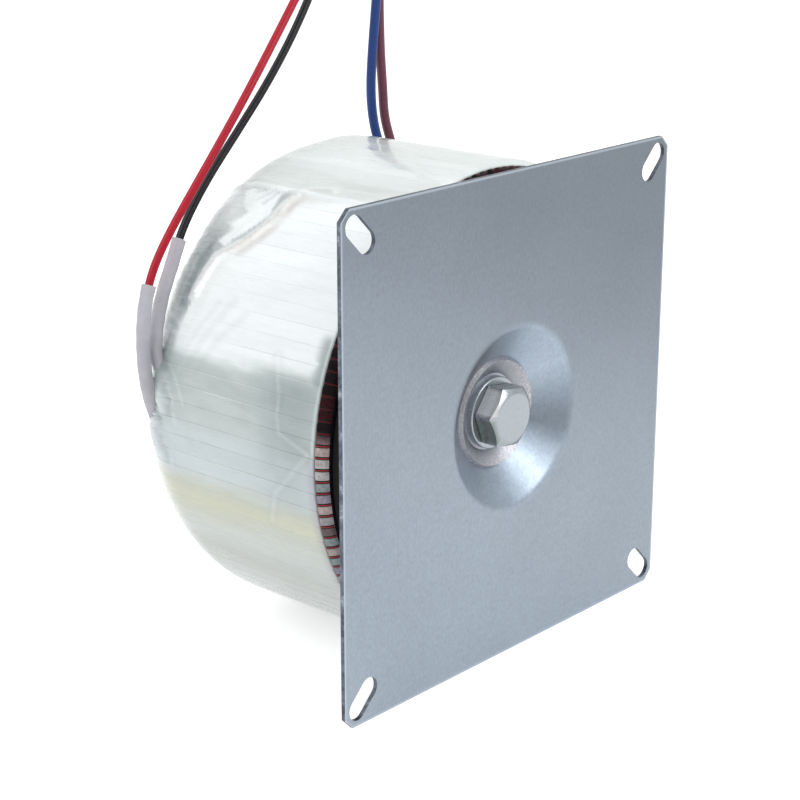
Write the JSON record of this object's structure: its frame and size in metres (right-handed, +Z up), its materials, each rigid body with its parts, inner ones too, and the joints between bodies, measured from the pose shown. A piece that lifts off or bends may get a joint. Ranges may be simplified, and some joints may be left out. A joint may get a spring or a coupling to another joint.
{
  "type": "toroidal transformer",
  "caption": "Ring-shaped mains transformer wrapped in clear polyester film, clamped by one central bolt behind a square slotted steel plate, with four insulated leads.",
  "frame": {"origin": "centre of the mounting plate's front face, on the bolt's axis", "axes": "+Y along the bolt's axis from the mounting face towards the coil and its nut, +Z up, +X along the plate's side"},
  "size_m": [0.1112, 0.0804, 0.1959],
  "materials": {
    "plate_steel": "zinc-plated sheet steel with a fine vertical grain",
    "pad_rubber": "matte black rubber",
    "washer_steel": "dull plated steel",
    "bright_zinc": "bright zinc plating",
    "polyester_film": "glossy clear film over white, milky in layers",
    "enamelled_wire": "red-brown enamelled copper",
    "insulation_tape": "plain insulating tape",
    "core_steel": "grain-oriented silicon steel strip, edges bare",
    "cap_nylon": "natural nylon",
    "red_jacket": "red wire insulation",
    "black_jacket": "black wire insulation",
    "blue_jacket": "blue wire insulation",
    "brown_jacket": "brown wire insulation",
    "sleeve_white": "white insulating sleeve",
    "tinned_copper": "tinned copper strands"
  },
  "bodies": {
    "root": {"mounting_plate": "plate_steel", "front_pad": "pad_rubber", "cup_washer": "washer_steel", "front_washer": "bright_zinc", "hex_bolt": "bright_zinc", "film_wrap": "polyester_film", "secondary_winding": "enamelled_wire", "interwinding_insulation": "insulation_tape", "primary_winding": "enamelled_wire", "wound_core": "core_steel", "core_cap_front": "cap_nylon", "core_cap_rear": "cap_nylon", "core_band_outer": "insulation_tape", "core_band_inner": "insulation_tape", "rear_pad": "pad_rubber", "clamp_disc": "plate_steel", "rear_washer": "bright_zinc", "spring_washer": "bright_zinc", "hex_nut": "bright_zinc", "lead_red": "red_jacket", "tip_red": "tinned_copper", "sleeve_red": "sleeve_white", "lead_black": "black_jacket", "tip_black": "tinned_copper", "sleeve_black": "sleeve_white", "lead_blue": "blue_jacket", "tip_blue": "tinned_copper", "lead_brown": "brown_jacket", "tip_brown": "tinned_copper"}
  },
  "joints": []
}
